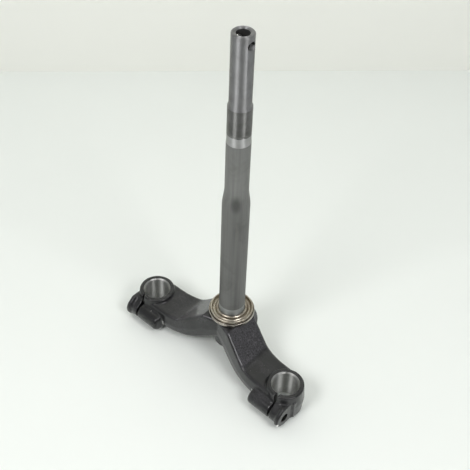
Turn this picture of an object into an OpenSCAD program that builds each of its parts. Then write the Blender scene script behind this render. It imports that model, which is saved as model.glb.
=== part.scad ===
// Lower yoke of a motorcycle fork with its steering stem, lower bearing race and dust washer.
// The stem's axis is the Z axis, X runs from fork leg to fork leg, the pinch bolts face -Y,
// and Z = 0 is the surface that the clamps stand on.

/* [Fork clamps] */
// Distance between the axes of the two fork legs
fork_spacing = 206.4; // [196:0.2:220]
// Distance of the fork legs ahead of the stem
fork_ahead = 21.7; // [18:0.1:25]
// Bore for the fork leg
fork_bore_d = 30; // [27:0.5:32]
// Wall of the clamp round its bore
clamp_wall = 6.3; // [5:0.1:7.5]
// Height of the clamp
clamp_h = 38.3; // [36:0.1:44]
// Lead-in chamfer at each end of the fork bore
fork_bore_chamfer = 1.4; // [0.4:0.1:1.8]
// Height of the clamp's turned top over the arm round it
clamp_step = 5; // [3:0.1:6]
// Broken outer edge of the clamp
clamp_edge = 0.9; // [0.3:0.1:1.5]

/* [Pinch bolts] */
// Distance of the pinch bolt ahead of the fork leg's axis
pinch_ahead = 22.3; // [21.5:0.1:25]
// Height of the pinch bolt's axis over the foot of the clamp
pinch_z = 14.3; // [13.5:0.1:16]
// Diameter of the threaded boss and of the loose ear beside the slot
pinch_boss_d = 21.2; // [19:0.1:23]
// Length of the threaded boss, inboard of the slot
pinch_boss_len = 30.5; // [26:0.5:34]
// Radius on the boss's closed end
pinch_boss_round = 3.5; // [1:0.1:6]
// Diameter of the collar on the outer end of the ear
pinch_ear_d = 26; // [23:0.2:27]
// Length of the ear, outboard of the slot, out to the flat face for the bolt's head
pinch_ear_len = 14.7; // [12:0.1:15.5]
// Length of its collar
pinch_collar_len = 4.2; // [3:0.1:6]
// Broken edge round the flat face
pinch_ear_edge = 0.9; // [0.3:0.1:1.5]
// Height of the ear's flat top over the bolt's axis
pinch_ear_top = 15.2; // [13.6:0.1:16]
// How far the shoulder that the facing cutter left behind the ear stands out of the clamp's wall
shoulder_out = 0.4; // [0:0.1:1.5]
// Width of that shoulder
shoulder_w = 4; // [2:0.1:6]
// Core hole for the bolt's thread
pinch_core_d = 8.8; // [6.8:0.1:10.2]
// Depth of that hole, from the slot into the boss
pinch_core_depth = 23; // [16:0.5:23]
// Clearance hole in the ear
pinch_clear_d = 11; // [9:0.1:12]
// Width of the slot that lets the clamp close
slot_w = 2.6; // [2:0.1:5]
// Distance of the slot outboard of the fork leg's axis
slot_out = 3.2; // [0:0.1:6]

/* [Arms] */
// Height of the ridge where each arm leaves the hub
ridge_z = 61.5; // [57:0.5:63]
// Distance of that ridge from the stem's axis
ridge_x = 20; // [18:0.5:23]
// Fall of the sloping top, in height for each unit along the arm
top_fall = 0.86; // [0.7:0.02:1]
// Front wall at the ridge, ahead of the stem
ridge_front = 30; // [27:0.5:32]
// How fast the front wall leaves the hub, in depth for each unit along the arm
front_flare = 0.31; // [0.2:0.01:0.36]
// Front wall where it meets the clamp, ahead of the fork leg
tip_front = 21; // [19:0.5:22]
// Back wall at the ridge, behind the stem
ridge_back = 15.5; // [12:0.5:18]
// How fast the back wall closes in, in depth for each unit along the arm
back_taper = 0.27; // [0.2:0.01:0.34]
// Back wall where it meets the clamp, behind the fork leg
tip_back = 23.2; // [20:0.2:24]
// Height of the arm's underside at the hub
root_under_z = 22.5; // [20:0.5:26]
// Height of the arm's underside at mid length
mid_under_z = 12.5; // [10:0.5:15]
// Height of the arm's underside where it meets the clamp
tip_under_z = 7; // [4:0.5:10]
// Radius on the arm's upper edges
arm_edge_r = 3.4; // [1.5:0.1:4.5]
// Radius on the arm's lower edges
arm_under_r = 1.6; // [1:0.1:3]
// How far the forging's parting line stands out of the drafted walls
parting_bulge = 1.1; // [0.5:0.1:2]

/* [Hub] */
// Wall of the hub round the stem's seat
hub_wall = 7.4; // [6:0.1:10]
// Wall of the neck under the dust washer
neck_wall = 5.4; // [4.5:0.1:7]
// Height of the neck's top, which the dust washer sits on
hub_top_z = 62; // [61:0.1:66]
// Radius of the hub's round back
hub_back_r = 31; // [26:0.5:33]
// Height where that back starts to slope in to the top
hub_back_z = 50; // [44:0.5:54]
// Wall of the boss under the hub
hub_foot_wall = 5.4; // [4:0.1:7]
// Height of that boss's lower face over the foot of the clamps
hub_foot_z = 16; // [12:0.5:18]
// Broken edge of that boss
hub_foot_edge = 1.5; // [0.5:0.1:2.5]

/* [Stem] */
// Overall height of the stem's top over the foot of the clamps
stem_top_z = 436.8; // [420:0.2:450]
// How far the stem stands out under the hub
stem_below = 1.5; // [0.5:0.1:3]
// Ground seat in the hub and under the race
seat_d = 30.2; // [29.8:0.1:30.8]
// Height of the seat's upper end over the race
seat_above_race = 8.8; // [6:0.2:12]
// Lower tube
lower_tube_d = 29.8; // [28.5:0.1:29.8]
// Height where the swage starts, at the lower tube
swage_z = 230.5; // [220:0.5:240]
// Length of the swage
swage_len = 24.5; // [18:0.5:32]
// Upper tube
upper_tube_d = 25.3; // [25:0.1:26.5]
// Height of the turned band under the thread
band_z = 316.5; // [310:0.5:320]
// Turned band
band_d = 24.7; // [24.2:0.1:24.9]
// Height of the thread's lower end
thread_z = 327.5; // [322:0.5:332]
// Thread's outer diameter
thread_d = 25; // [24.5:0.1:25.4]
// Height of the shoulder at the thread's upper end
shoulder_z = 358.5; // [350:0.5:366]
// Top section, which the upper yoke clamps
top_d = 22.5; // [20:0.1:23]
// Chamfer at the shoulder, at the thread's ends and on the top rim
stem_chamfer = 1; // [0.5:0.1:1.5]
// Bore of the upper part
upper_bore_d = 13.2; // [11:0.1:14]
// Bore of the lower tube
lower_bore_d = 19; // [16:0.5:21]
// Cross hole near the top
cross_hole_d = 9.4; // [6:0.2:10]
// Distance of the cross hole's axis from the top
cross_hole_down = 10; // [9:0.2:16]

/* [Lower race] */
// Width of the race, from its bore to its outside
race_w = 9.8; // [9:0.1:11]
// Height of the race's outer lip
race_lip_h = 6.4; // [5:0.1:7.5]
// Height of its inner collar
race_collar_h = 6.9; // [5.5:0.1:8]
// Wall of its inner collar
race_collar_w = 2.7; // [2:0.1:3.5]
// Width of its outer lip
race_lip_w = 1.9; // [1:0.1:2.5]
// Depth of the ball track under the lip
race_track_depth = 3.4; // [2:0.1:4]
// Fit of the race, the washer and the hub round the stem, a side
press_clearance = 0.02; // [0.01:0.01:0.05]

/* [Dust washer] */
// How far the dished washer stands out round the race
washer_over = 1.7; // [1.4:0.1:3]
// Thickness of its floor
washer_t = 1.4; // [1:0.1:2]
// Height of its turned-up rim, from its underside
washer_rim_h = 4.5; // [3:0.1:5]
// Thickness of that rim
washer_rim_t = 1.1; // [0.8:0.1:1.3]

/* [Hidden] */
round_fn = 96;
arc_steps = 4;
station_gap = 3;
fork_x = fork_spacing / 2;
fork_y = -fork_ahead;
clamp_r = fork_bore_d / 2 + clamp_wall;
clamp_draft = 1.5;
pinch_y = fork_y - pinch_ahead;
slot_x = fork_x + slot_out;
slot_in_x = slot_x - slot_w / 2;
boss_r = pinch_boss_d / 2;
ear_r = pinch_ear_d / 2;
shoulder_depth = 6;
boss_start_x = slot_in_x - pinch_boss_len;
ear_end_x = slot_x + slot_w / 2 + pinch_ear_len;
arm_top_z = clamp_h - clamp_step;
parting_share = 0.42;
washer_z = hub_top_z;
race_z = washer_z + washer_t;
seat_top_z = race_z + race_collar_h + seat_above_race;
stem_bottom_z = hub_foot_z - stem_below;
seat_r = seat_d / 2;
hub_r = seat_r + hub_wall;
hub_top_edge_z = ridge_z - 1;
race_r = seat_r + race_w;
collar_r = seat_r + race_collar_w;
washer_r = race_r + washer_over;
black_paint = [0.12, 0.12, 0.13];
turned_steel = [0.62, 0.62, 0.64];
race_steel = [0.55, 0.47, 0.38];
washer_steel = [0.66, 0.64, 0.62];

// The larger and the smaller of two values, with the corner between them rounded over a range r.
function soft_max(a, b, r) = (a + b + sqrt((a - b) * (a - b) + r * r)) / 2;
function soft_min(a, b, r) = (a + b - sqrt((a - b) * (a - b) + r * r)) / 2;

// The four walls of an arm, at a distance x from the stem.
function arm_top(x) = min(ridge_z, soft_max(ridge_z - top_fall * (x - ridge_x), arm_top_z, 4));
function arm_under(x) = soft_max(
    soft_max(root_under_z - 0.62 * (x - ridge_x), mid_under_z, 5) - 0.06 * (x - ridge_x),
    tip_under_z, 3);
function arm_front(x) = soft_min(ridge_front + front_flare * (x - ridge_x), fork_ahead + tip_front, 4);
function arm_back(x) = soft_max(ridge_back - back_taper * (x - ridge_x), tip_back - fork_ahead, 3);

// A corner of the arm's section, rounded from angle a0 through a quarter turn.
function corner(x, y, z, r, a0) =
    [for (i = [0:arc_steps]) let (a = a0 + 90 * i / arc_steps) [x, y + r * cos(a), z + r * sin(a)]];

// The whole section at x: its drafted walls stand out furthest at the forging's parting line.
function arm_section(x) =
    let (front = arm_front(x), back = arm_back(x), top = arm_top(x), under = arm_under(x),
         parting = under + parting_share * (top - under), r = arm_edge_r, q = arm_under_r)
    concat([[x, -front - parting_bulge, parting]],
           corner(x, q - front, under + q, q, 180),
           corner(x, back - q, under + q, q, 270),
           [[x, back + parting_bulge, parting]],
           corner(x, back - r, top - r, r, 0),
           corner(x, r - front, top - r, r, 90));

// A solid lofted through sections of equally many points, which follow one another along X.
module loft(sections) {
    n = len(sections[0]);
    last = len(sections) - 1;
    walls = [for (s = [0:last - 1]) for (i = [0:n - 1])
        let (j = (i + 1) % n) each [[s * n + j, s * n + i, (s + 1) * n + j],
                                    [(s + 1) * n + j, s * n + i, (s + 1) * n + i]]];
    caps = [[for (i = [0:n - 1]) i], [for (i = [0:n - 1]) last * n + n - 1 - i]];
    polyhedron(points = [for (section = sections) for (p = section) p], faces = concat(walls, caps));
}

// The arm, from just past the middle of the hub's front into the clamp.
module arm() {
    tip_x = fork_x - clamp_r * 0.3;
    steps = ceil((tip_x - ridge_x) / station_gap);
    stations = concat([-1, ridge_x * 0.3, ridge_x * 0.65],
                      [for (i = [0:steps]) ridge_x + (tip_x - ridge_x) * i / steps]);
    loft([for (x = stations) arm_section(x)]);
}

// A turned cylinder with both its outer edges broken.
module edged_cylinder(r, h, edge) {
    rotate_extrude($fn = round_fn)
        polygon([[0, 0], [r - edge, 0], [r, edge], [r, h - edge], [r - edge, h], [0, h]]);
}

// The clamp's outside, drafted both ways from a parting line at mid height.
module clamp_body() {
    rotate_extrude($fn = round_fn)
        polygon([[0, 0], [clamp_r - clamp_edge, 0], [clamp_r, clamp_edge],
                 [clamp_r + clamp_draft, clamp_h * 0.5], [clamp_r, clamp_h - clamp_edge],
                 [clamp_r - clamp_edge, clamp_h], [0, clamp_h]]);
}

// Points of an arc about the origin.
function arc_points(r, a0, a1, steps) =
    [for (i = [0:steps]) let (a = a0 + (a1 - a0) * i / steps) [r * cos(a), r * sin(a)]];

// A section of the ear at x: round about the bolt's axis, then up to a flat top that runs back into the clamp.
function ear_section(x, r, top) =
    let (lean = 40, profile = concat([[pinch_ahead, top], [(top * cos(lean) - r) / sin(lean), top]],
                                     arc_points(r, 90 + lean, 270, 18), [[pinch_ahead, -r]]))
    [for (p = profile) [x, pinch_y + p[0], pinch_z + p[1]]];

// The loose ear with the collar on its outer end.
module ear() {
    collar_x = ear_end_x - pinch_collar_len;
    loft([ear_section(slot_x, boss_r, pinch_ear_top),
          ear_section(collar_x - (ear_r - boss_r), boss_r, pinch_ear_top),
          ear_section(collar_x, ear_r, pinch_ear_top),
          ear_section(ear_end_x - pinch_ear_edge, ear_r, pinch_ear_top),
          ear_section(ear_end_x, ear_r - pinch_ear_edge, pinch_ear_top - pinch_ear_edge)]);
}

// The shoulder that the facing cutter leaves behind the ear, on the clamp's wall.
module ear_shoulder() {
    out = clamp_r + shoulder_out;
    translate([fork_x + out - shoulder_depth, pinch_y + ear_r, pinch_z - ear_r + 2])
        cube([shoulder_depth, shoulder_w, ear_r - 2 + pinch_ear_top - pinch_ear_edge]);
}

// Lays a shape that stands on Z along X, on the axis of the pinch bolt.
module along_bolt(x) {
    translate([x, pinch_y, pinch_z]) rotate([90, 0, 90]) children();
}

// The threaded boss, with its closed end rounded over.
module threaded_boss() {
    q = pinch_boss_round;
    along_bolt(boss_start_x) rotate_extrude($fn = round_fn)
        polygon(concat([[0, 0]], [for (p = arc_points(q, 270, 360, 6)) [boss_r - q + p[0], q + p[1]]],
                       [[boss_r, slot_x - boss_start_x], [0, slot_x - boss_start_x]]));
}

// A blind hole with the cone that the drill's point leaves.
module drilled(r, depth) {
    rotate_extrude($fn = round_fn) polygon([[0, -0.6 * r], [r, 0], [r, depth], [0, depth]]);
}

// The holes and the slot of one clamp.
module clamp_cuts() {
    bore_r = fork_bore_d / 2;
    mouth_r = bore_r + fork_bore_chamfer;
    translate([fork_x, fork_y, -1]) cylinder(r = bore_r, h = clamp_h + 2, $fn = round_fn);
    translate([fork_x, fork_y, -0.01])
        cylinder(r1 = mouth_r, r2 = bore_r, h = fork_bore_chamfer, $fn = round_fn);
    translate([fork_x, fork_y, clamp_h - fork_bore_chamfer + 0.01])
        cylinder(r1 = bore_r, r2 = mouth_r, h = fork_bore_chamfer, $fn = round_fn);
    translate([slot_in_x, pinch_y - pinch_ear_d, -1])
        cube([slot_w, pinch_ear_d + pinch_ahead, clamp_h + 2]);
    along_bolt(slot_in_x - pinch_core_depth) drilled(pinch_core_d / 2, pinch_core_depth + slot_w / 2);
    along_bolt(slot_x) cylinder(d = pinch_clear_d, h = ear_end_x + 1 - slot_x, $fn = round_fn);
}

// The hub's round back, which slopes in to its top and leaves the front to the arms' walls.
module hub_back() {
    slope_r = hub_r + 2;
    intersection() {
        rotate_extrude($fn = round_fn)
            polygon([[0, root_under_z], [hub_back_r - 2, root_under_z], [hub_back_r, root_under_z + 2],
                     [hub_back_r, hub_back_z], [slope_r, hub_back_z + hub_back_r - slope_r],
                     [0, hub_back_z + hub_back_r - slope_r]]);
        translate([-hub_back_r - 1, 0, 0]) cube([2 * hub_back_r + 2, hub_back_r + 1, hub_top_z]);
    }
}

// The forged yoke: a hub, two arms, two split clamps and their bolt bosses, all one piece.
module lower_yoke() {
    color(black_paint) difference() {
        union() {
            translate([0, 0, hub_foot_z])
                edged_cylinder(seat_r + hub_foot_wall, ridge_z - 2 - hub_foot_z, hub_foot_edge);
            translate([0, 0, root_under_z])
                edged_cylinder(hub_r, hub_top_edge_z - root_under_z, 2);
            translate([0, 0, root_under_z])
                edged_cylinder(seat_r + neck_wall, hub_top_z - root_under_z, 0.4);
            hub_back();
            for (side = [0, 1]) mirror([side, 0, 0]) {
                arm();
                translate([fork_x, fork_y, 0]) clamp_body();
                threaded_boss();
                ear();
                ear_shoulder();
            }
        }
        for (side = [0, 1]) mirror([side, 0, 0]) clamp_cuts();
        translate([0, 0, hub_foot_z - 1])
            cylinder(r = seat_r + press_clearance, h = hub_top_z - hub_foot_z + 2, $fn = round_fn);
    }
}

// Points of a smooth change of radius, from r0 at z0 to r1 at z1, along half a cosine wave.
function swage_points(r0, z0, r1, z1, steps) =
    [for (i = [0:steps]) [r0 + (r1 - r0) * (1 - cos(180 * i / steps)) / 2, z0 + (z1 - z0) * i / steps]];

// The steering stem: one steel tube, swaged down, then turned for the thread and the top section.
module steering_stem() {
    c = stem_chamfer;
    swage_end = swage_z + swage_len;
    outside = concat(
        [[seat_r - c, stem_bottom_z], [seat_r, stem_bottom_z + c],
         [seat_r, seat_top_z - c / 2], [lower_tube_d / 2, seat_top_z]],
        swage_points(lower_tube_d / 2, swage_z, upper_tube_d / 2, swage_end, 12),
        [[upper_tube_d / 2, band_z - c / 2], [band_d / 2, band_z],
         [band_d / 2, thread_z - c], [thread_d / 2 - c, thread_z - c], [thread_d / 2, thread_z],
         [thread_d / 2, shoulder_z - c], [top_d / 2, shoulder_z + c / 2],
         [top_d / 2, stem_top_z - c], [top_d / 2 - c, stem_top_z]]);
    inside = concat(
        [[upper_bore_d / 2 + c, stem_top_z], [upper_bore_d / 2, stem_top_z - c]],
        swage_points(upper_bore_d / 2, swage_end, lower_bore_d / 2, swage_z, 8),
        [[lower_bore_d / 2, stem_bottom_z]]);
    color(turned_steel) difference() {
        rotate_extrude($fn = round_fn) polygon(concat(outside, inside));
        translate([-top_d, 0, stem_top_z - cross_hole_down]) rotate([0, 90, 0])
            cylinder(d = cross_hole_d, h = 2 * top_d, $fn = round_fn);
    }
}

// Points of the ball track, a circular arc from the collar down and out to the lip.
function track_points(r_in, r_out, z_edge, depth, steps) =
    let (mid = (r_in + r_out) / 2, half = (r_out - r_in) / 2)
    [for (i = [0:steps]) let (a = 180 * i / steps) [mid - half * cos(a), z_edge - depth * sin(a)]];

// The lower bearing race: a hardened ring with a ball track between its collar and its lip.
module lower_race() {
    r_bore = seat_r + press_clearance;
    r_out = race_r;
    lip_z = race_z + race_lip_h;
    collar_z = race_z + race_collar_h;
    color(race_steel) rotate_extrude($fn = round_fn)
        polygon(concat(
            [[r_bore, race_z], [r_out - 0.5, race_z], [r_out, race_z + 0.5],
             [r_out, lip_z - 0.6], [r_out - 0.6, lip_z], [r_out - race_lip_w + 0.3, lip_z]],
            [for (p = track_points(r_out - race_lip_w, collar_r, lip_z - 0.3, race_track_depth, 12)) p],
            [[collar_r - 0.2, collar_z - 0.8], [collar_r - 0.9, collar_z],
             [r_bore + 0.6, collar_z], [r_bore, collar_z - 0.6]]));
}

// The dust washer: a pressed steel dish that the race sits in.
module dust_washer() {
    r_bore = seat_r + press_clearance;
    r_out = washer_r;
    rim_in = r_out - washer_rim_t;
    rim_top = washer_z + washer_rim_h;
    color(washer_steel) rotate_extrude($fn = round_fn)
        polygon([[r_bore, washer_z], [r_out - washer_t, washer_z], [r_out, washer_z + washer_t],
                 [r_out, rim_top - 0.3], [r_out - 0.3, rim_top], [rim_in + 0.3, rim_top],
                 [rim_in, rim_top - 0.3], [rim_in, washer_z + washer_t], [r_bore, washer_z + washer_t]]);
}

steering_stem();
lower_yoke();
lower_race();
dust_washer();
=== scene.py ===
import math

import bpy
from mathutils import Matrix, Vector


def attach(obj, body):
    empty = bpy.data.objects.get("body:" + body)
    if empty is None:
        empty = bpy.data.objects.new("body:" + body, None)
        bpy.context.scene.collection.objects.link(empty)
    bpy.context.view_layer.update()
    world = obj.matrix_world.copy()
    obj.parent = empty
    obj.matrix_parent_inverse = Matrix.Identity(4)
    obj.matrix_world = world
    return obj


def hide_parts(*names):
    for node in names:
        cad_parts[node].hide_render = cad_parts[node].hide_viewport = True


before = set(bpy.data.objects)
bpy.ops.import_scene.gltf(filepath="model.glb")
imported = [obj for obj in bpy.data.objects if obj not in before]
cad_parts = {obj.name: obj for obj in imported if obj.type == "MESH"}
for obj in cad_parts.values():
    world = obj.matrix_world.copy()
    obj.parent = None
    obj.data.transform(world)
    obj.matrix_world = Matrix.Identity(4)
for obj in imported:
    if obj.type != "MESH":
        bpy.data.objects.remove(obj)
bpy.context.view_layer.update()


# The lower yoke. One forged steel piece in gloss black paint: a hub, two arms, two split clamps.
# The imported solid's round holes are filled, its slots stay open, and its inside corners are filleted
# as a forging die leaves them. The bores and bolt holes are then cut at their true size.
MM = 0.001
FORK_X, FORK_Y = 103.2 * MM, -21.7 * MM
CLAMP_H = 38.3 * MM
FORK_BORE_R, BORE_CHAMFER = 15.0 * MM, 1.4 * MM
PINCH_Y, PINCH_Z = -44.0 * MM, 14.3 * MM
BOSS_START_X, SLOT_X, SLOT_W = 74.6 * MM, 106.4 * MM, 2.6 * MM
PINCH_CORE_R, PINCH_CORE_DEPTH, PINCH_CLEAR_R = 4.4 * MM, 23.0 * MM, 5.5 * MM
EAR_END_X = 122.4 * MM
HUB_FOOT_Z, HUB_TOP_Z = 16.0 * MM, 62.0 * MM
SEAT_R, PRESS_CLEARANCE = 15.1 * MM, 0.02 * MM
FORGING_VOXEL = 0.77 * MM
SAW_START_Y = -75.0 * MM
BLANK_RING_R, BLANK_RING_SHORT = 21.0 * MM, 0.6 * MM
PLUG_OVERLAP, HOLES_APART = 0.3 * MM, 0.2 * MM
CRISP_X, CRISP_Y, CRISP_SHARE = SLOT_X - 4.0 * MM, -36.0 * MM, 0.25
PLUG_SHORT_BOSS, PLUG_SHORT_EAR = 3.0 * MM, 0.05 * MM
HOLLOW_FROM, HOLLOW_FULL, HOLLOW_ROUNDS = 0.008 * MM, 0.035 * MM, 6
OVER, SLACK = 2.0 * MM, 0.1 * MM


def select_only(*objects):
    """Leaves just these objects selected, the last of them active."""
    if bpy.context.mode != "OBJECT":
        bpy.ops.object.mode_set(mode="OBJECT")
    bpy.ops.object.select_all(action="DESELECT")
    for o in objects:
        o.select_set(True)
    bpy.context.view_layer.objects.active = objects[-1]


def apply_modifier(obj, kind, **settings):
    """Adds a modifier with these settings and applies it."""
    select_only(obj)
    m = obj.modifiers.new(kind.lower(), kind)
    for key, value in settings.items():
        setattr(m, key, value)
    bpy.ops.object.modifier_apply(modifier=m.name)


def set_place(obj):
    """Moves the object's place, turn and size into its mesh, so that it sits at the origin."""
    select_only(obj)
    bpy.ops.object.transform_apply(location=True, rotation=True, scale=True)


def rod(radius, start, end, vertices=96):
    """A cylinder between two points."""
    start, end = Vector(start), Vector(end)
    bpy.ops.mesh.primitive_cylinder_add(
        vertices=vertices, radius=radius, depth=(end - start).length, location=(start + end) / 2,
        rotation=(end - start).to_track_quat("Z", "Y").to_euler())
    made = bpy.context.object
    set_place(made)
    return made


def block(low, high):
    """A box between two corners."""
    low, high = Vector(low), Vector(high)
    bpy.ops.mesh.primitive_cube_add(size=1, location=(low + high) / 2)
    made = bpy.context.object
    made.scale = high - low
    set_place(made)
    return made


def join(*objects):
    """Joins the objects into the last one."""
    select_only(*objects)
    bpy.ops.object.join()
    return bpy.context.object


def cad_copy(node, name):
    """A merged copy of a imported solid, free of its body, to work on."""
    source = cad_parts[node]
    made = source.copy()
    made.data = source.data.copy()
    made.name = made.data.name = name
    made.parent = None
    for key in [k for k in made.keys() if k.startswith("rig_")]:
        del made[key]
    bpy.context.scene.collection.objects.link(made)
    made.data.materials.clear()
    select_only(made)
    bpy.ops.object.mode_set(mode="EDIT")
    bpy.ops.mesh.select_all(action="SELECT")
    bpy.ops.mesh.remove_doubles(threshold=2e-6)
    bpy.ops.object.mode_set(mode="OBJECT")
    return made


def hollow_weights(obj, low, high):
    """Makes the vertex group hollow: 0 on flat and rounded-out places, and 1 in the inside corners.

    On the ears it is a quarter of that, so that their corners stay crisp.
    """
    mesh = obj.data
    beside = [[] for _ in mesh.vertices]
    for e in mesh.edges:
        a, b = e.vertices
        beside[a].append(b)
        beside[b].append(a)
    depth = []
    for v in mesh.vertices:
        middle = sum((mesh.vertices[i].co for i in beside[v.index]), Vector()) / len(beside[v.index])
        depth.append((middle - v.co).dot(v.normal))
    for _ in range(HOLLOW_ROUNDS):
        depth = [(d + sum(depth[i] for i in beside[k])) / (1 + len(beside[k]))
                 for k, d in enumerate(depth)]
    group = obj.vertex_groups.new(name="hollow")
    for k, d in enumerate(depth):
        w = min(max((d - low) / (high - low), 0), 1)
        at = mesh.vertices[k].co
        if abs(at.x) > CRISP_X and at.y < CRISP_Y:
            w *= CRISP_SHARE
        if w > 0:
            group.add([k], w, "REPLACE")


yoke = cad_copy("lower_yoke", "yoke_forging")


def cut(obj, *tools):
    """Cuts the joined tools, which don't overlap, out of the object."""
    tool = join(*tools)
    apply_modifier(obj, "BOOLEAN", operation="DIFFERENCE", solver="MANIFOLD", object=tool)
    bpy.data.objects.remove(tool)


def slot_cutter(side):
    """The saw's path through one clamp, from in front of the bolt back into the fork bore."""
    return block((side * SLOT_X - SLOT_W / 2, SAW_START_Y, -OVER),
                 (side * SLOT_X + SLOT_W / 2, FORK_Y, CLAMP_H + OVER))


def on_pinch_axis(side, x):
    """A point on the pinch bolt's axis, this far out from the middle."""
    return (side * x, PINCH_Y, PINCH_Z)


fillings = [rod(SEAT_R + PLUG_OVERLAP, (0, 0, HUB_FOOT_Z), (0, 0, HUB_TOP_Z))]
for side in (-1, 1):
    ring = [rod(FORK_BORE_R + OVER, (side * FORK_X, FORK_Y, 0), (side * FORK_X, FORK_Y, CLAMP_H)),
            rod(BLANK_RING_R, (side * FORK_X, FORK_Y, BLANK_RING_SHORT),
                (side * FORK_X, FORK_Y, CLAMP_H - BLANK_RING_SHORT))]
    for filling in ring:
        cut(filling, slot_cutter(side))
    plug = rod(PINCH_CLEAR_R + PLUG_OVERLAP, on_pinch_axis(side, BOSS_START_X + PLUG_SHORT_BOSS),
               on_pinch_axis(side, EAR_END_X - PLUG_SHORT_EAR))
    fillings += [*ring, plug]
yoke = join(*fillings, yoke)
apply_modifier(yoke, "REMESH", mode="VOXEL", voxel_size=FORGING_VOXEL, use_smooth_shade=True)
apply_modifier(yoke, "SMOOTH", factor=0.45, iterations=2)
for _ in range(3):
    hollow_weights(yoke, HOLLOW_FROM, HOLLOW_FULL)
    apply_modifier(yoke, "SMOOTH", factor=0.5, iterations=9, vertex_group="hollow")
    yoke.vertex_groups.clear()
apply_modifier(yoke, "SMOOTH", factor=0.3, iterations=1)


def cone(radius_low, radius_high, x, y, z_low, z_high):
    """An upright tapered plug."""
    bpy.ops.mesh.primitive_cone_add(vertices=128, radius1=radius_low, radius2=radius_high,
                                    depth=z_high - z_low, location=(x, y, (z_low + z_high) / 2))
    made = bpy.context.object
    set_place(made)
    return made


bores, mouths = [], []
mouth_r = FORK_BORE_R + BORE_CHAMFER + OVER
for side in (-1, 1):
    bores += [
        rod(FORK_BORE_R, (side * FORK_X, FORK_Y, -OVER), (side * FORK_X, FORK_Y, CLAMP_H + OVER), 128),
        rod(PINCH_CORE_R, on_pinch_axis(side, SLOT_X - SLOT_W / 2 - PINCH_CORE_DEPTH),
            on_pinch_axis(side, SLOT_X - HOLES_APART / 2), 64),
        rod(PINCH_CLEAR_R, on_pinch_axis(side, SLOT_X + HOLES_APART / 2),
            on_pinch_axis(side, EAR_END_X + OVER), 64)]
    mouths += [
        cone(mouth_r, FORK_BORE_R, side * FORK_X, FORK_Y, -OVER, BORE_CHAMFER),
        cone(FORK_BORE_R, mouth_r, side * FORK_X, FORK_Y, CLAMP_H - BORE_CHAMFER, CLAMP_H + OVER)]
bores.append(rod(SEAT_R + PRESS_CLEARANCE, (0, 0, HUB_FOOT_Z - OVER), (0, 0, HUB_TOP_Z + OVER), 128))
cut(yoke, *bores)
cut(yoke, *mouths)


def new_group(name, inputs, outputs):
    """An empty shader node group with these sockets, its Group Input and its Group Output."""
    group = bpy.data.node_groups.new(name, "ShaderNodeTree")
    for name_in, value in inputs.items():
        socket = group.interface.new_socket(name_in, in_out="INPUT", socket_type="NodeSocketFloat")
        socket.default_value = value
    for name_out in outputs:
        group.interface.new_socket(name_out, in_out="OUTPUT", socket_type="NodeSocketFloat")
    return group, group.nodes.new("NodeGroupInput"), group.nodes.new("NodeGroupOutput")


def wire(tree, *links):
    """Joins pairs of sockets, each given as node and socket name."""
    for (a, out), (b, into) in links:
        tree.links.new(a.outputs[out], b.inputs[into])


def node(tree, kind, **settings):
    """A shader node with its settings, and with the values of its sockets given by a dict."""
    n = tree.nodes.new("ShaderNode" + kind)
    values = settings.pop("values", {})
    for key, value in settings.items():
        setattr(n, key, value)
    for key, value in values.items():
        n.inputs[key].default_value = value
    return n


def finish_of(name, colour, roughness, metallic, **sockets):
    """A material with these plain values on its shader, followed by its node tree and the shader."""
    material = bpy.data.materials.new(name)
    material.use_nodes = True
    tree = material.node_tree
    shader = tree.nodes["Principled BSDF"]
    shader.inputs["Base Color"].default_value = (*colour, 1)
    shader.inputs["Roughness"].default_value = roughness
    shader.inputs["Metallic"].default_value = metallic
    for key, value in sockets.items():
        shader.inputs[key.replace("_", " ")].default_value = value
    return material, tree, shader


def ramp(tree, stops):
    """A colour ramp with these stops, each a place and a grey or a colour."""
    n = tree.nodes.new("ShaderNodeValToRGB")
    n.color_ramp.elements[0].position = stops[0][0]
    n.color_ramp.elements[1].position = stops[-1][0]
    for place, _ in stops[1:-1]:
        n.color_ramp.elements.new(place)
    for e, (_, colour) in zip(n.color_ramp.elements, stops):
        e.color = (*colour, 1) if isinstance(colour, tuple) else (colour, colour, colour, 1)
    return n


# Fine and broad mottling in one mask: what grease, handling and old storage leave on a surface.
mottle, inside, outside = new_group("mottle", {"Scale": 60.0, "Low": 0.45, "High": 0.7}, ["Mask"])
place = node(mottle, "TexCoord")
noise = node(mottle, "TexNoise", values={"Detail": 6.0, "Roughness": 0.62, "Distortion": 0.4})
span = node(mottle, "MapRange", values={"To Min": 0.0, "To Max": 1.0})
wire(mottle, ((place, "Object"), (noise, "Vector")), ((inside, "Scale"), (noise, "Scale")),
     ((noise, "Fac"), (span, "Value")), ((inside, "Low"), (span, "From Min")),
     ((inside, "High"), (span, "From Max")), ((span, "Result"), (outside, "Mask")))

# The skin of a forging under paint: shallow scale pits and the slow waves of the paint over them.
forged_skin, inside, outside = new_group("forged_skin", {"Pits": 0.5, "Waves": 0.5}, ["Height"])
place = node(forged_skin, "TexCoord")
pits = node(forged_skin, "TexNoise", values={"Scale": 900.0, "Detail": 4.0, "Roughness": 0.6})
waves = node(forged_skin, "TexNoise", values={"Scale": 170.0, "Detail": 2.0, "Roughness": 0.5})
times_pits = node(forged_skin, "Math", operation="MULTIPLY")
times_waves = node(forged_skin, "Math", operation="MULTIPLY")
both = node(forged_skin, "Math", operation="ADD")
wire(forged_skin, ((place, "Object"), (pits, "Vector")), ((place, "Object"), (waves, "Vector")),
     ((pits, "Fac"), (times_pits, 0)), ((inside, "Pits"), (times_pits, 1)),
     ((waves, "Fac"), (times_waves, 0)), ((inside, "Waves"), (times_waves, 1)),
     ((times_pits, 0), (both, 0)), ((times_waves, 0), (both, 1)), ((both, 0), (outside, "Height")))

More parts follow.
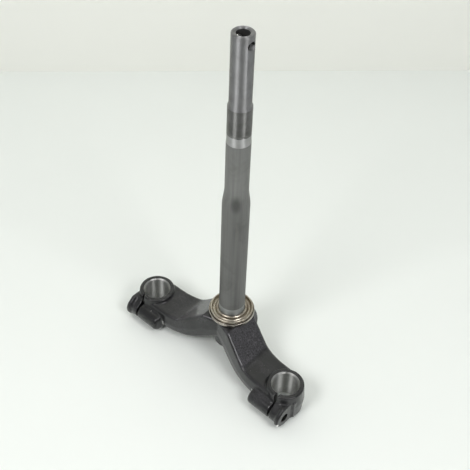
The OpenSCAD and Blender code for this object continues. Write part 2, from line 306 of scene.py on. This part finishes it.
# Tool marks that run round an upright axis: rings whose depth changes from one to the next.
turning_marks, inside, outside = new_group("turning_marks", {"Rings": 2600.0, "Drift": 3.0}, ["Height"])
place = node(turning_marks, "TexCoord")
stretch = node(turning_marks, "CombineXYZ")
squeeze = node(turning_marks, "VectorMath", operation="MULTIPLY")
rings = node(turning_marks, "TexNoise", values={"Scale": 1.0, "Detail": 3.0, "Roughness": 0.55})
wire(turning_marks, ((inside, "Drift"), (stretch, "X")), ((inside, "Drift"), (stretch, "Y")),
     ((inside, "Rings"), (stretch, "Z")), ((place, "Object"), (squeeze, 0)), ((stretch, 0), (squeeze, 1)),
     ((squeeze, 0), (rings, "Vector")), ((rings, "Fac"), (outside, "Height")))

paint, tree, shader = finish_of("gloss_black_paint", (0.012, 0.012, 0.014), 0.3, 0.0,
                                Coat_Weight=0.6, Coat_Roughness=0.06, Specular_IOR_Level=0.25)
skin = node(tree, "Group", node_tree=forged_skin, values={"Pits": 0.35, "Waves": 0.9})
bump = node(tree, "Bump", values={"Strength": 0.5, "Distance": 0.0004})
ripple = node(tree, "TexNoise", values={"Scale": 170.0, "Detail": 2.0, "Roughness": 0.5})
gloss_bump = node(tree, "Bump", values={"Strength": 0.4, "Distance": 0.0004})
dust = node(tree, "Group", node_tree=mottle, values={"Scale": 34.0, "Low": 0.42, "High": 0.78})
grain = node(tree, "Group", node_tree=mottle, values={"Scale": 620.0, "Low": 0.35, "High": 0.75})
film = node(tree, "Math", operation="MULTIPLY")
object_place = node(tree, "TexCoord")
apart = node(tree, "SeparateXYZ")
outward = node(tree, "Math", operation="ABSOLUTE")
upward = node(tree, "SeparateXYZ")
# Painted sheen: the sloping tops of the arms near the hub are coloured paler, picked by how far each face
# leans, for the lighter reflection they show. The fine grain breaks it up; the dust-and-grain film added to
# it is real mottling.
on_slope = ramp(tree, [(0.58, 0.0), (0.68, 1.0), (0.84, 1.0), (0.94, 0.0)])
on_arm = node(tree, "MapRange", interpolation_type="SMOOTHSTEP",
              values={"From Min": 0.058, "From Max": 0.07, "To Min": 0.85, "To Max": 0.0})
painted_slope_sheen = node(tree, "Math", operation="MULTIPLY")
grain_and_slope_sheen = node(tree, "Math", operation="MULTIPLY_ADD")
tint = node(tree, "Mix", data_type="RGBA")
tint.inputs["A"].default_value = (0.006, 0.006, 0.0065, 1)
tint.inputs["B"].default_value = (0.080, 0.076, 0.084, 1)
haze = node(tree, "MapRange", values={"To Min": 0.34, "To Max": 0.55})
wire(tree, ((skin, "Height"), (bump, "Height")), ((bump, "Normal"), (shader, "Normal")),
     ((object_place, "Object"), (ripple, "Vector")), ((ripple, "Fac"), (gloss_bump, "Height")),
     ((gloss_bump, "Normal"), (shader, "Coat Normal")),
     ((dust, "Mask"), (film, 0)), ((grain, "Mask"), (film, 1)),
     ((object_place, "Object"), (apart, "Vector")), ((apart, "X"), (outward, 0)),
     ((outward, 0), (on_arm, "Value")), ((object_place, "Normal"), (upward, "Vector")),
     ((upward, "Z"), (on_slope, "Fac")), ((on_arm, "Result"), (painted_slope_sheen, 0)),
     ((on_slope, "Color"), (painted_slope_sheen, 1)), ((painted_slope_sheen, 0), (grain_and_slope_sheen, 0)), ((grain, "Mask"), (grain_and_slope_sheen, 1)),
     ((film, 0), (grain_and_slope_sheen, 2)), ((grain_and_slope_sheen, 0), (tint, "Factor")),
     ((dust, "Mask"), (haze, "Value")), ((haze, "Result"), (shader, "Roughness")))

# A pale, ragged spot painted on the lower front rim of one ear's end face: a painted highlight for the glint
# that edge shows.
glint_place = node(tree, "Mapping", vector_type="TEXTURE")
glint_place.inputs["Location"].default_value = (0.1219, -0.0555, 0.0100)
glint_place.inputs["Scale"].default_value = (0.0030, 0.0026, 0.0034)
ball = node(tree, "TexGradient", gradient_type="SPHERICAL")
ragged = node(tree, "TexNoise", values={"Scale": 900.0, "Detail": 3.0})
ragged_glint = node(tree, "Math", operation="MULTIPLY_ADD", values={1: 0.9})
glint_edge = ramp(tree, [(0.74, 0.0), (0.80, 1.0)])
with_painted_glint = node(tree, "Mix", data_type="RGBA")
with_painted_glint.inputs["B"].default_value = (0.86, 0.86, 0.84, 1)
wire(tree, ((object_place, "Object"), (glint_place, "Vector")), ((glint_place, "Vector"), (ball, "Vector")),
     ((object_place, "Object"), (ragged, "Vector")), ((ball, "Fac"), (ragged_glint, 0)), ((ragged, "Fac"), (ragged_glint, 2)),
     ((ragged_glint, 0), (glint_edge, "Fac")), ((glint_edge, "Color"), (with_painted_glint, "Factor")), ((tint, "Result"), (with_painted_glint, "A")),
     ((with_painted_glint, "Result"), (shader, "Base Color")))

bare, tree, shader = finish_of("bare_cut_steel", (0.42, 0.42, 0.41), 0.4, 1.0,
                               Anisotropic=1.0, Anisotropic_Rotation=0.25)
round_bore = node(tree, "Tangent", direction_type="UV_MAP", uv_map="round_the_hole")
marks = node(tree, "Group", node_tree=turning_marks, values={"Rings": 2200.0, "Drift": 6.0})
bump = node(tree, "Bump", values={"Strength": 0.35, "Distance": 0.00012})
stain = node(tree, "Group", node_tree=mottle, values={"Scale": 90.0, "Low": 0.4, "High": 0.75})
tint = node(tree, "Mix", data_type="RGBA")
tint.inputs["A"].default_value = (0.52, 0.525, 0.51, 1)
tint.inputs["B"].default_value = (0.38, 0.38, 0.36, 1)
haze = node(tree, "MapRange", values={"To Min": 0.42, "To Max": 0.48})
wire(tree, ((marks, "Height"), (bump, "Height")), ((bump, "Normal"), (shader, "Normal")),
     ((round_bore, "Tangent"), (shader, "Tangent")),
     ((stain, "Mask"), (tint, "Factor")), ((tint, "Result"), (shader, "Base Color")),
     ((stain, "Mask"), (haze, "Value")), ((haze, "Result"), (shader, "Roughness")))

chamfer = finish_of("bare_chamfer_steel", (0.32, 0.32, 0.31), 0.4, 1.0)[0]
yoke_finishes = [paint, bare, chamfer]
yoke.data.materials.clear()
for material in yoke_finishes:
    yoke.data.materials.append(material)
unrolled = yoke.data.uv_layers.new(name="round_the_hole")
UV_A_RADIAN = 2.4

# How far a face's normal may lean along its hole: less than this on a wall, less than this anywhere
# in a fork bore's mouth, and more than this on the mouth's chamfer.
WALL_LEAN, MOUTH_LEAN, CHAMFER_LEAN = 0.5, 0.75, 0.4
MOUTH_SLACK, PINCH_FROM_X = 0.3 * MM, BOSS_START_X - 3.0 * MM
for face in yoke.data.polygons:
    c, n = face.center, face.normal
    x = abs(c.x)
    from_fork = math.hypot(x - FORK_X, c.y - FORK_Y)
    from_pinch = math.hypot(c.y - PINCH_Y, c.z - PINCH_Z)
    in_bore = from_fork < FORK_BORE_R + BORE_CHAMFER + MOUTH_SLACK and abs(n.z) < MOUTH_LEAN
    in_pinch = x > PINCH_FROM_X and from_pinch < PINCH_CLEAR_R + SLACK and abs(n.x) < WALL_LEAN
    in_seat = math.hypot(c.x, c.y) < SEAT_R + SLACK and abs(n.z) < WALL_LEAN
    if in_bore or in_pinch or in_seat:
        finish = chamfer if in_bore and abs(n.z) > CHAMFER_LEAN else bare
        face.material_index = yoke_finishes.index(finish)
        middle = math.copysign(FORK_X, c.x) if in_bore else 0.0
        ahead_of = FORK_Y if in_bore else 0.0
        turn = math.atan2(c.y - ahead_of, c.x - middle)
        for corner in face.loop_indices:
            at = yoke.data.vertices[yoke.data.loops[corner].vertex_index].co
            own = math.atan2(at.y - ahead_of, at.x - middle) - turn
            own = (own + math.pi) % (2 * math.pi) - math.pi
            unrolled.uv[corner].vector = ((turn + own) * UV_A_RADIAN, at.z / FORK_BORE_R)
select_only(yoke)
bpy.ops.object.shade_smooth_by_angle(angle=math.radians(38))
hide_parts("lower_yoke")
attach(yoke, "root")


# The steering stem. One steel tube, drawn, swaged down to a smaller size part-way up, and then
# turned: a ground seat in the hub and under the race, a band and a fine thread for the bearing's
# adjuster, and a bright top section for the upper yoke, with a cross hole near the top.
STEM_BOTTOM_Z, SEAT_TOP_Z = 14.5 * MM, 79.1 * MM
LOWER_R, SWAGE_Z, SWAGE_LEN, UPPER_R = 14.9 * MM, 230.5 * MM, 24.5 * MM, 12.65 * MM
BAND_Z, BAND_R = 316.5 * MM, 12.35 * MM
THREAD_Z, SHOULDER_Z, THREAD_R = 327.5 * MM, 358.5 * MM, 12.5 * MM
THREAD_PITCH, THREAD_DEPTH = 1.0 * MM, 0.5 * MM
BAND_SLOPE, BAND_END_Z, TOP_SECTION_Z = 1.6 * MM, THREAD_Z - 2.2 * MM, SHOULDER_Z - 1.3 * MM
RELIEF_START_Z, RELIEF_END_Z = THREAD_Z - 1.6 * MM, THREAD_Z - 0.4 * MM
CORE_END_Z, CREST_END_Z, THREAD_SHORT = SHOULDER_Z - 1.6 * MM, SHOULDER_Z - 0.9 * MM, 1.5 * MM
STEP_FOOT_Z, STEP_FOOT_W, STEP_END_Z = SHOULDER_Z + 0.4 * MM, 0.1 * MM, SHOULDER_Z + 0.6 * MM
SEAT_SLOPE, SEAT_ZONE = 0.6 * MM, 0.2 * MM
TOP_R, TOP_Z = 11.25 * MM, 436.8 * MM
UPPER_BORE_R, LOWER_BORE_R = 6.6 * MM, 9.5 * MM
CROSS_HOLE_R, CROSS_HOLE_Z, CROSS_HOLE_REACH = 4.7 * MM, 426.8 * MM, 20.0 * MM
EDGE = 1.0 * MM


def turned(name, rings, segments=128):
    """A closed turned shape: a circle drawn out ring by ring, each ring given as radius and height."""
    bpy.ops.object.select_all(action="DESELECT")
    bpy.ops.mesh.primitive_circle_add(vertices=segments, radius=rings[0][0], fill_type="NOTHING",
                                      location=(0, 0, rings[0][1]))
    made = bpy.context.object
    made.name = made.data.name = name
    set_place(made)
    bpy.ops.object.mode_set(mode="EDIT")
    bpy.ops.mesh.select_all(action="SELECT")
    for (r0, z0), (r1, z1) in zip(rings, rings[1:] + rings[:1]):
        bpy.ops.mesh.extrude_region_move(TRANSFORM_OT_translate={"value": (0, 0, z1 - z0)})
        bpy.ops.transform.resize(value=(r1 / r0, r1 / r0, 1), center_override=(0, 0, z1))
    bpy.ops.mesh.select_all(action="SELECT")
    bpy.ops.mesh.remove_doubles(threshold=1e-6)
    bpy.ops.mesh.normals_make_consistent(inside=False)
    bpy.ops.object.mode_set(mode="OBJECT")
    return made


def swage(r0, z0, r1, z1, steps=16):
    """Rings of a smooth change of radius along half a cosine wave."""
    return [(r0 + (r1 - r0) * (1 - math.cos(math.pi * i / steps)) / 2, z0 + (z1 - z0) * i / steps)
            for i in range(steps + 1)]


core_r = THREAD_R - THREAD_DEPTH
relief_r, crest_r = core_r - 0.1 * MM, THREAD_R - 0.1 * MM
stem = turned("stem_tube", [
    (LOWER_BORE_R, STEM_BOTTOM_Z), (SEAT_R - EDGE, STEM_BOTTOM_Z), (SEAT_R, STEM_BOTTOM_Z + EDGE),
    (SEAT_R, SEAT_TOP_Z - SEAT_SLOPE), (LOWER_R, SEAT_TOP_Z),
    *swage(LOWER_R, SWAGE_Z, UPPER_R, SWAGE_Z + SWAGE_LEN),
    (UPPER_R, BAND_Z - BAND_SLOPE), (BAND_R, BAND_Z), (BAND_R, BAND_END_Z),
    (relief_r, RELIEF_START_Z), (relief_r, RELIEF_END_Z), (core_r, THREAD_Z),
    (core_r, CORE_END_Z), (crest_r, TOP_SECTION_Z), (crest_r, CREST_END_Z),
    (TOP_R + STEP_FOOT_W, STEP_FOOT_Z), (TOP_R, STEP_END_Z),
    (TOP_R, TOP_Z - EDGE), (TOP_R - EDGE, TOP_Z), (UPPER_BORE_R + EDGE, TOP_Z), (UPPER_BORE_R, TOP_Z - EDGE),
    *swage(UPPER_BORE_R, SWAGE_Z + SWAGE_LEN, LOWER_BORE_R, SWAGE_Z)])
cut(stem, rod(CROSS_HOLE_R, (-CROSS_HOLE_REACH, 0, CROSS_HOLE_Z), (CROSS_HOLE_REACH, 0, CROSS_HOLE_Z), 64))
apply_modifier(stem, "BEVEL", width=0.22 * MM, segments=2, limit_method="ANGLE",
               angle_limit=math.radians(28), use_clamp_overlap=True)

turns = int((SHOULDER_Z - THREAD_SHORT - THREAD_Z) / THREAD_PITCH)
ridge_half = THREAD_PITCH * 0.4
bpy.ops.object.select_all(action="DESELECT")
bpy.ops.mesh.primitive_circle_add(vertices=6, radius=ridge_half, fill_type="NOTHING",
                                  rotation=(math.pi / 2, 0, 0), location=(core_r, 0, THREAD_Z))
thread = bpy.context.object
thread.name = thread.data.name = "stem_thread"
set_place(thread)
for v in thread.data.vertices:
    out = (v.co.x - core_r) / ridge_half
    if out > 0.6:
        v.co.x = core_r + (THREAD_DEPTH - 0.02 * MM) * out
    elif out < 0:
        v.co.x = core_r - 0.2 * MM
    else:
        v.co.x = core_r + 0.1 * MM
apply_modifier(thread, "SCREW", axis="Z", angle=2 * math.pi, screw_offset=THREAD_PITCH, iterations=turns,
               steps=72, render_steps=72, use_normal_calculate=True, use_smooth_shade=True)
select_only(thread)
bpy.ops.object.mode_set(mode="EDIT")
bpy.ops.mesh.select_all(action="DESELECT")
bpy.ops.mesh.select_non_manifold()
bpy.ops.mesh.edge_face_add()
bpy.ops.object.mode_set(mode="OBJECT")

streaks, inside, outside = new_group("drawn_streaks", {"Fineness": 420.0, "Length": 7.0}, ["Streak"])
place = node(streaks, "TexCoord")
stretch = node(streaks, "CombineXYZ")
squeeze = node(streaks, "VectorMath", operation="MULTIPLY")
lines = node(streaks, "TexNoise", values={"Scale": 1.0, "Detail": 5.0, "Roughness": 0.6})
wire(streaks, ((inside, "Fineness"), (stretch, "X")), ((inside, "Fineness"), (stretch, "Y")),
     ((inside, "Length"), (stretch, "Z")), ((place, "Object"), (squeeze, 0)), ((stretch, 0), (squeeze, 1)),
     ((squeeze, 0), (lines, "Vector")), ((lines, "Fac"), (outside, "Streak")))

drawn, tree, shader = finish_of("drawn_tube_steel", (0.22, 0.22, 0.21), 0.42, 1.0,
                                Anisotropic=0.5, Anisotropic_Rotation=0.25)
round_axis = node(tree, "Tangent", direction_type="RADIAL", axis="Z")
draw = node(tree, "Group", node_tree=streaks, values={"Fineness": 420.0, "Length": 9.0})
smudge = node(tree, "Group", node_tree=mottle, values={"Scale": 42.0, "Low": 0.5, "High": 0.72})
streaked = ramp(tree, [(0.3, (0.20, 0.20, 0.195)), (0.5, (0.24, 0.24, 0.235)), (0.7, (0.285, 0.285, 0.275))])
tint = node(tree, "Mix", data_type="RGBA")
tint.inputs["B"].default_value = (0.15, 0.15, 0.14, 1)
part = node(tree, "Math", operation="MULTIPLY", values={1: 0.5})
where = node(tree, "TexCoord")
# A dark patch painted on the front of the swage, where it faces the camera: a painted reflection for the dark
# middle that the round steel shows there.
on_swage = node(tree, "Mapping", vector_type="TEXTURE")
on_swage.inputs["Location"].default_value = (0.0092, -0.0106, 0.241)
on_swage.inputs["Scale"].default_value = (0.0085, 0.0085, 0.0150)
ball = node(tree, "TexGradient", gradient_type="SPHERICAL")
dark_reflection_fade = node(tree, "MapRange", interpolation_type="SMOOTHSTEP",
              values={"From Min": 0.0, "From Max": 0.8, "To Max": 0.7})
height = node(tree, "SeparateXYZ")
upper_part = node(tree, "MapRange", interpolation_type="SMOOTHSTEP",
                  values={"From Min": 0.222, "From Max": 0.262, "To Min": 0.78, "To Max": 1.0})
dulled = node(tree, "VectorMath", operation="SCALE")
with_dark_reflection = node(tree, "Mix", data_type="RGBA")
with_dark_reflection.inputs["B"].default_value = (0.085, 0.085, 0.082, 1)
haze = node(tree, "MapRange", values={"From Min": 0.3, "From Max": 0.7, "To Min": 0.44, "To Max": 0.58})
bump = node(tree, "Bump", values={"Strength": 0.3, "Distance": 0.0001})
wire(tree, ((draw, "Streak"), (streaked, "Fac")), ((streaked, "Color"), (tint, "A")),
     ((smudge, "Mask"), (part, 0)), ((part, 0), (tint, "Factor")),
     ((where, "Object"), (on_swage, "Vector")), ((on_swage, "Vector"), (ball, "Vector")),
     ((ball, "Fac"), (dark_reflection_fade, "Value")), ((dark_reflection_fade, "Result"), (with_dark_reflection, "Factor")),
     ((where, "Object"), (height, "Vector")), ((height, "Z"), (upper_part, "Value")),
     ((tint, "Result"), (dulled, 0)), ((upper_part, "Result"), (dulled, "Scale")),
     ((dulled, 0), (with_dark_reflection, "A")), ((with_dark_reflection, "Result"), (shader, "Base Color")),
     ((round_axis, "Tangent"), (shader, "Tangent")),
     ((draw, "Streak"), (haze, "Value")), ((haze, "Result"), (shader, "Roughness")),
     ((draw, "Streak"), (bump, "Height")), ((bump, "Normal"), (shader, "Normal")))


def turned_steel(name, light, dark, smooth, rough, anisotropy=0.0):
    """Steel off the lathe: rings of tool marks, and stains that dull it in patches."""
    material, tree, shader = finish_of(name, light, smooth, 1.0, Anisotropic=anisotropy)
    marks = node(tree, "Group", node_tree=turning_marks, values={"Rings": 2600.0, "Drift": 4.0})
    stain = node(tree, "Group", node_tree=mottle, values={"Scale": 55.0, "Low": 0.45, "High": 0.75})
    tint = node(tree, "Mix", data_type="RGBA")
    tint.inputs["A"].default_value = (*light, 1)
    tint.inputs["B"].default_value = (*dark, 1)
    haze = node(tree, "MapRange", values={"To Min": smooth, "To Max": rough})
    bump = node(tree, "Bump", values={"Strength": 0.4, "Distance": 0.0001})
    wire(tree, ((stain, "Mask"), (tint, "Factor")), ((tint, "Result"), (shader, "Base Color")),
         ((stain, "Mask"), (haze, "Value")), ((haze, "Result"), (shader, "Roughness")),
         ((marks, "Height"), (bump, "Height")), ((bump, "Normal"), (shader, "Normal")))
    if anisotropy:
        round_axis = node(tree, "Tangent", direction_type="RADIAL", axis="Z")
        shader.inputs["Anisotropic Rotation"].default_value = 0.25
        wire(tree, ((round_axis, "Tangent"), (shader, "Tangent")))
    return material


bright = turned_steel("bright_turned_steel", (0.36, 0.36, 0.365), (0.30, 0.30, 0.295), 0.58, 0.64, 0.95)
polished = turned_steel("polished_band_steel", (0.48, 0.48, 0.48), (0.38, 0.38, 0.37), 0.46, 0.52, 0.9)
oiled = turned_steel("oiled_thread_steel", (0.24, 0.24, 0.235), (0.14, 0.14, 0.13), 0.36, 0.42, 0.95)
seat = turned_steel("ground_seat_steel", (0.34, 0.35, 0.345), (0.26, 0.26, 0.255), 0.42, 0.48, 0.9)
# Painted shade: the tube's inside faces get a far darker steel, so that the bore and the cross hole look
# dark.
dull = finish_of("painted_shade_bore_steel", (0.10, 0.10, 0.098), 0.55, 1.0)[0]
stem_finishes = [drawn, bright, oiled, seat, dull, polished]
stem.data.materials.clear()
for material in stem_finishes:
    stem.data.materials.append(material)
TUBE_BORE_LEAN, TUBE_BORE_SKIN = 0.3, 1.5 * MM
for face in stem.data.polygons:
    c = face.center
    from_axis = math.hypot(c.x, c.y)
    outer = from_axis > UPPER_BORE_R + TUBE_BORE_SKIN
    finish = drawn
    if face.normal.x * c.x + face.normal.y * c.y < 0 and abs(face.normal.z) < TUBE_BORE_LEAN:
        finish = dull
    elif c.z > TOP_SECTION_Z:
        finish = bright
    elif outer and BAND_Z - BAND_SLOPE - SLACK < c.z < BAND_END_Z + SLACK:
        finish = polished
    elif outer and c.z > BAND_END_Z:
        finish = oiled
    elif c.z < SEAT_TOP_Z + SEAT_ZONE and from_axis > SEAT_R - 2 * EDGE:
        finish = seat
    face.material_index = stem_finishes.index(finish)
thread.data.materials.clear()
thread.data.materials.append(oiled)
stem = join(thread, stem)
select_only(stem)
bpy.ops.object.shade_smooth_by_angle(angle=math.radians(30))
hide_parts("steering_stem")
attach(stem, "root")


# The lower bearing race. A hardened ring pressed on the stem's seat, with the ball track ground
# into its top between a raised collar and an outer lip. Old brown grease colours it.
RACE_Z, LIP_Z, COLLAR_Z = 63.4 * MM, 69.8 * MM, 70.3 * MM
RACE_R, LIP_W, COLLAR_R, TRACK_DEPTH = 24.9 * MM, 1.9 * MM, 17.8 * MM, 3.4 * MM
RACE_BORE_R = SEAT_R + PRESS_CLEARANCE
FOOT_EDGE, TOP_EDGE, TRACK_EDGE, TRACK_STEPS = 0.5 * MM, 0.6 * MM, 0.3 * MM, 24
track_mid, track_half = (RACE_R - LIP_W + COLLAR_R) / 2, (RACE_R - LIP_W - COLLAR_R) / 2
track = [(track_mid + track_half * math.cos(a), LIP_Z - TRACK_EDGE - TRACK_DEPTH * math.sin(a))
         for a in (math.pi * i / TRACK_STEPS for i in range(TRACK_STEPS + 1))]
race = turned("race_ring", [
    (RACE_BORE_R, RACE_Z), (RACE_R - FOOT_EDGE, RACE_Z), (RACE_R, RACE_Z + FOOT_EDGE),
    (RACE_R, LIP_Z - TOP_EDGE), (RACE_R - TOP_EDGE, LIP_Z), (RACE_R - LIP_W + TRACK_EDGE, LIP_Z), *track,
    (COLLAR_R - 0.2 * MM, COLLAR_Z - 0.8 * MM), (COLLAR_R - 0.9 * MM, COLLAR_Z),
    (RACE_BORE_R + TOP_EDGE, COLLAR_Z), (RACE_BORE_R, COLLAR_Z - TOP_EDGE)], segments=160)
apply_modifier(race, "BEVEL", width=0.18 * MM, segments=2, limit_method="ANGLE",
               angle_limit=math.radians(25))

greased, tree, shader = finish_of("greased_race_steel", (0.40, 0.36, 0.30), 0.22, 1.0)
marks = node(tree, "Group", node_tree=turning_marks, values={"Rings": 1500.0, "Drift": 12.0})
grease = node(tree, "Group", node_tree=mottle, values={"Scale": 70.0, "Low": 0.35, "High": 0.65})
tint = node(tree, "Mix", data_type="RGBA")
tint.inputs["A"].default_value = (0.49, 0.46, 0.39, 1)
tint.inputs["B"].default_value = (0.30, 0.25, 0.20, 1)
haze = node(tree, "MapRange", values={"To Min": 0.24, "To Max": 0.4})
bump = node(tree, "Bump", values={"Strength": 0.25, "Distance": 0.00012})
wire(tree, ((grease, "Mask"), (tint, "Factor")), ((tint, "Result"), (shader, "Base Color")),
     ((grease, "Mask"), (haze, "Value")), ((haze, "Result"), (shader, "Roughness")),
     ((marks, "Height"), (bump, "Height")), ((bump, "Normal"), (shader, "Normal")))
race.data.materials.clear()
race.data.materials.append(greased)
select_only(race)
bpy.ops.object.shade_smooth_by_angle(angle=math.radians(30))
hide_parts("lower_race")
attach(race, "root")


# The dust washer. A thin steel dish pressed from sheet, under the race, whose turned-up rim
# shows as a third bright ring round the race.
WASHER_Z, WASHER_R, WASHER_T = HUB_TOP_Z, 26.6 * MM, 1.4 * MM
RIM_H, RIM_T, RIM_ROUND_H, RIM_ROUND_W = 4.5 * MM, 1.1 * MM, 0.4 * MM, 0.3 * MM
rim_top = WASHER_Z + RIM_H
corner = [(WASHER_R - WASHER_T * (1 - math.sin(a)), WASHER_Z + WASHER_T * (1 - math.cos(a)))
          for a in (math.radians(15 * i) for i in range(7))]
washer = turned("washer_dish", [
    (RACE_BORE_R, WASHER_Z), *corner, (WASHER_R, rim_top - RIM_ROUND_H),
    (WASHER_R - RIM_ROUND_W, rim_top), (WASHER_R - RIM_T + RIM_ROUND_W, rim_top),
    (WASHER_R - RIM_T, rim_top - RIM_ROUND_H), (WASHER_R - RIM_T, WASHER_Z + WASHER_T),
    (RACE_BORE_R, WASHER_Z + WASHER_T)], segments=160)
apply_modifier(washer, "BEVEL", width=0.15 * MM, segments=2, limit_method="ANGLE",
               angle_limit=math.radians(25))
pressed = turned_steel("pressed_washer_steel", (0.46, 0.43, 0.39), (0.24, 0.2, 0.16), 0.2, 0.4)
washer.data.materials.clear()
washer.data.materials.append(pressed)
select_only(washer)
bpy.ops.object.shade_smooth_by_angle(angle=math.radians(30))
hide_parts("dust_washer")
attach(washer, "root")


# The stage: a pale paper floor and a pale wall behind it, a soft lamp on either side of the camera
# and one overhead, and a grey sky that fills the shadows. The sky is darker on the camera's side,
# which gives the round steel its dark middles.
def plain_stage(name, colour, paler):
    """Matt paper in one colour, with faint clouds of a paler one."""
    material, tree, shader = finish_of(name, colour, 0.85, 0.0)
    soft = node(tree, "TexNoise", values={"Scale": 1.6, "Detail": 4.0, "Roughness": 0.5})
    place = node(tree, "TexCoord")
    tint = node(tree, "Mix", data_type="RGBA")
    tint.inputs["A"].default_value = (*colour, 1)
    tint.inputs["B"].default_value = (*paler, 1)
    wire(tree, ((place, "Object"), (soft, "Vector")), ((soft, "Fac"), (tint, "Factor")),
         ((tint, "Result"), (shader, "Base Color")))
    return material


bpy.ops.object.select_all(action="DESELECT")
PAPER_SIZE = 6
bpy.ops.mesh.primitive_plane_add(size=PAPER_SIZE, location=(0, 0, 0))
floor = bpy.context.object
floor.name = "floor"
floor.data.materials.append(plain_stage("floor_paper", (0.84, 0.87, 0.835), (0.88, 0.91, 0.875)))
WALL_TURN, WALL_PLACE = math.radians(45.3), (-0.385, 0.429, 0)
bpy.ops.mesh.primitive_plane_add(size=PAPER_SIZE, location=WALL_PLACE, rotation=(math.pi / 2, 0, WALL_TURN))
wall = bpy.context.object
wall.name = "wall"
wall.data.materials.append(plain_stage("wall_paper", (0.91, 0.915, 0.86), (0.94, 0.945, 0.89)))

world = bpy.data.worlds.new("sky")
bpy.context.scene.world = world
world.use_nodes = True
sky = world.node_tree
sky.nodes["Background"].inputs["Color"].default_value = (0.97, 0.985, 1.0, 1)
TOWARD_THE_CAMERA = (0.465, -0.539, 0.702)
outlook = node(sky, "TexCoord")
toward = node(sky, "VectorMath", operation="DOT_PRODUCT", values={1: TOWARD_THE_CAMERA})
darker = node(sky, "MapRange", interpolation_type="SMOOTHSTEP",
              values={"From Min": 0.1, "From Max": 0.9, "To Min": 0.80, "To Max": 0.14})
wire(sky, ((outlook, "Generated"), (toward, 0)), ((toward, "Value"), (darker, "Value")),
     ((darker, "Result"), (sky.nodes["Background"], "Strength")))


LAMP_AIM_Z = 0.15


def lamp(name, turn, height, distance, size, watts):
    """A square soft lamp, aimed at the part's middle. Turn is in degrees from the front, towards +X."""
    a, e = math.radians(turn), math.radians(height)
    aim = Vector((0, 0, LAMP_AIM_Z))
    place = aim + distance * Vector((math.sin(a) * math.cos(e), -math.cos(a) * math.cos(e), math.sin(e)))
    light = bpy.data.lights.new(name, "AREA")
    light.shape, light.size, light.energy = "SQUARE", size, watts
    made = bpy.data.objects.new(name, light)
    bpy.context.scene.collection.objects.link(made)
    made.location = place
    made.rotation_euler = (aim - place).to_track_quat("-Z", "Y").to_euler()


lamp("left_lamp", -3, 46, 1.7, 0.6, 11.5)
lamp("right_lamp", 85, 46, 1.7, 0.6, 10.5)
lamp("top_lamp", 30, 85, 1.9, 1.2, 4.5)

# The camera, at the place and angle worked out from the photograph, with its lens given by the
# focal length in pixels. Its angles are in radians.
CAMERA_PLACE = Vector((0.45543, -0.52701, 0.87318))
CAMERA_AZIMUTH, CAMERA_HEIGHT, CAMERA_ROLL = 0.7123, 0.7789, 0.0424
PHOTO_WIDTH_PX, FOCAL_PX, SENSOR_WIDTH = 470, 912.74, 36
along = math.cos(CAMERA_HEIGHT)
ahead = Vector((-math.sin(CAMERA_AZIMUTH) * along, math.cos(CAMERA_AZIMUTH) * along,
                -math.sin(CAMERA_HEIGHT)))
level = Vector((math.cos(CAMERA_AZIMUTH), math.sin(CAMERA_AZIMUTH), 0))
upright = level.cross(ahead)
right = level * math.cos(CAMERA_ROLL) + upright * math.sin(CAMERA_ROLL)
up = upright * math.cos(CAMERA_ROLL) - level * math.sin(CAMERA_ROLL)
lens = bpy.data.cameras.new("camera")
lens.sensor_width, lens.lens = SENSOR_WIDTH, FOCAL_PX / PHOTO_WIDTH_PX * SENSOR_WIDTH
lens.clip_start, lens.clip_end = 0.05, 20
camera = bpy.data.objects.new("camera", lens)
bpy.context.scene.collection.objects.link(camera)
turned_to_part = Matrix((right, up, -ahead)).transposed().to_4x4()
camera.matrix_world = Matrix.Translation(CAMERA_PLACE) @ turned_to_part
bpy.context.scene.camera = camera
bpy.context.scene.view_settings.view_transform = "Standard"
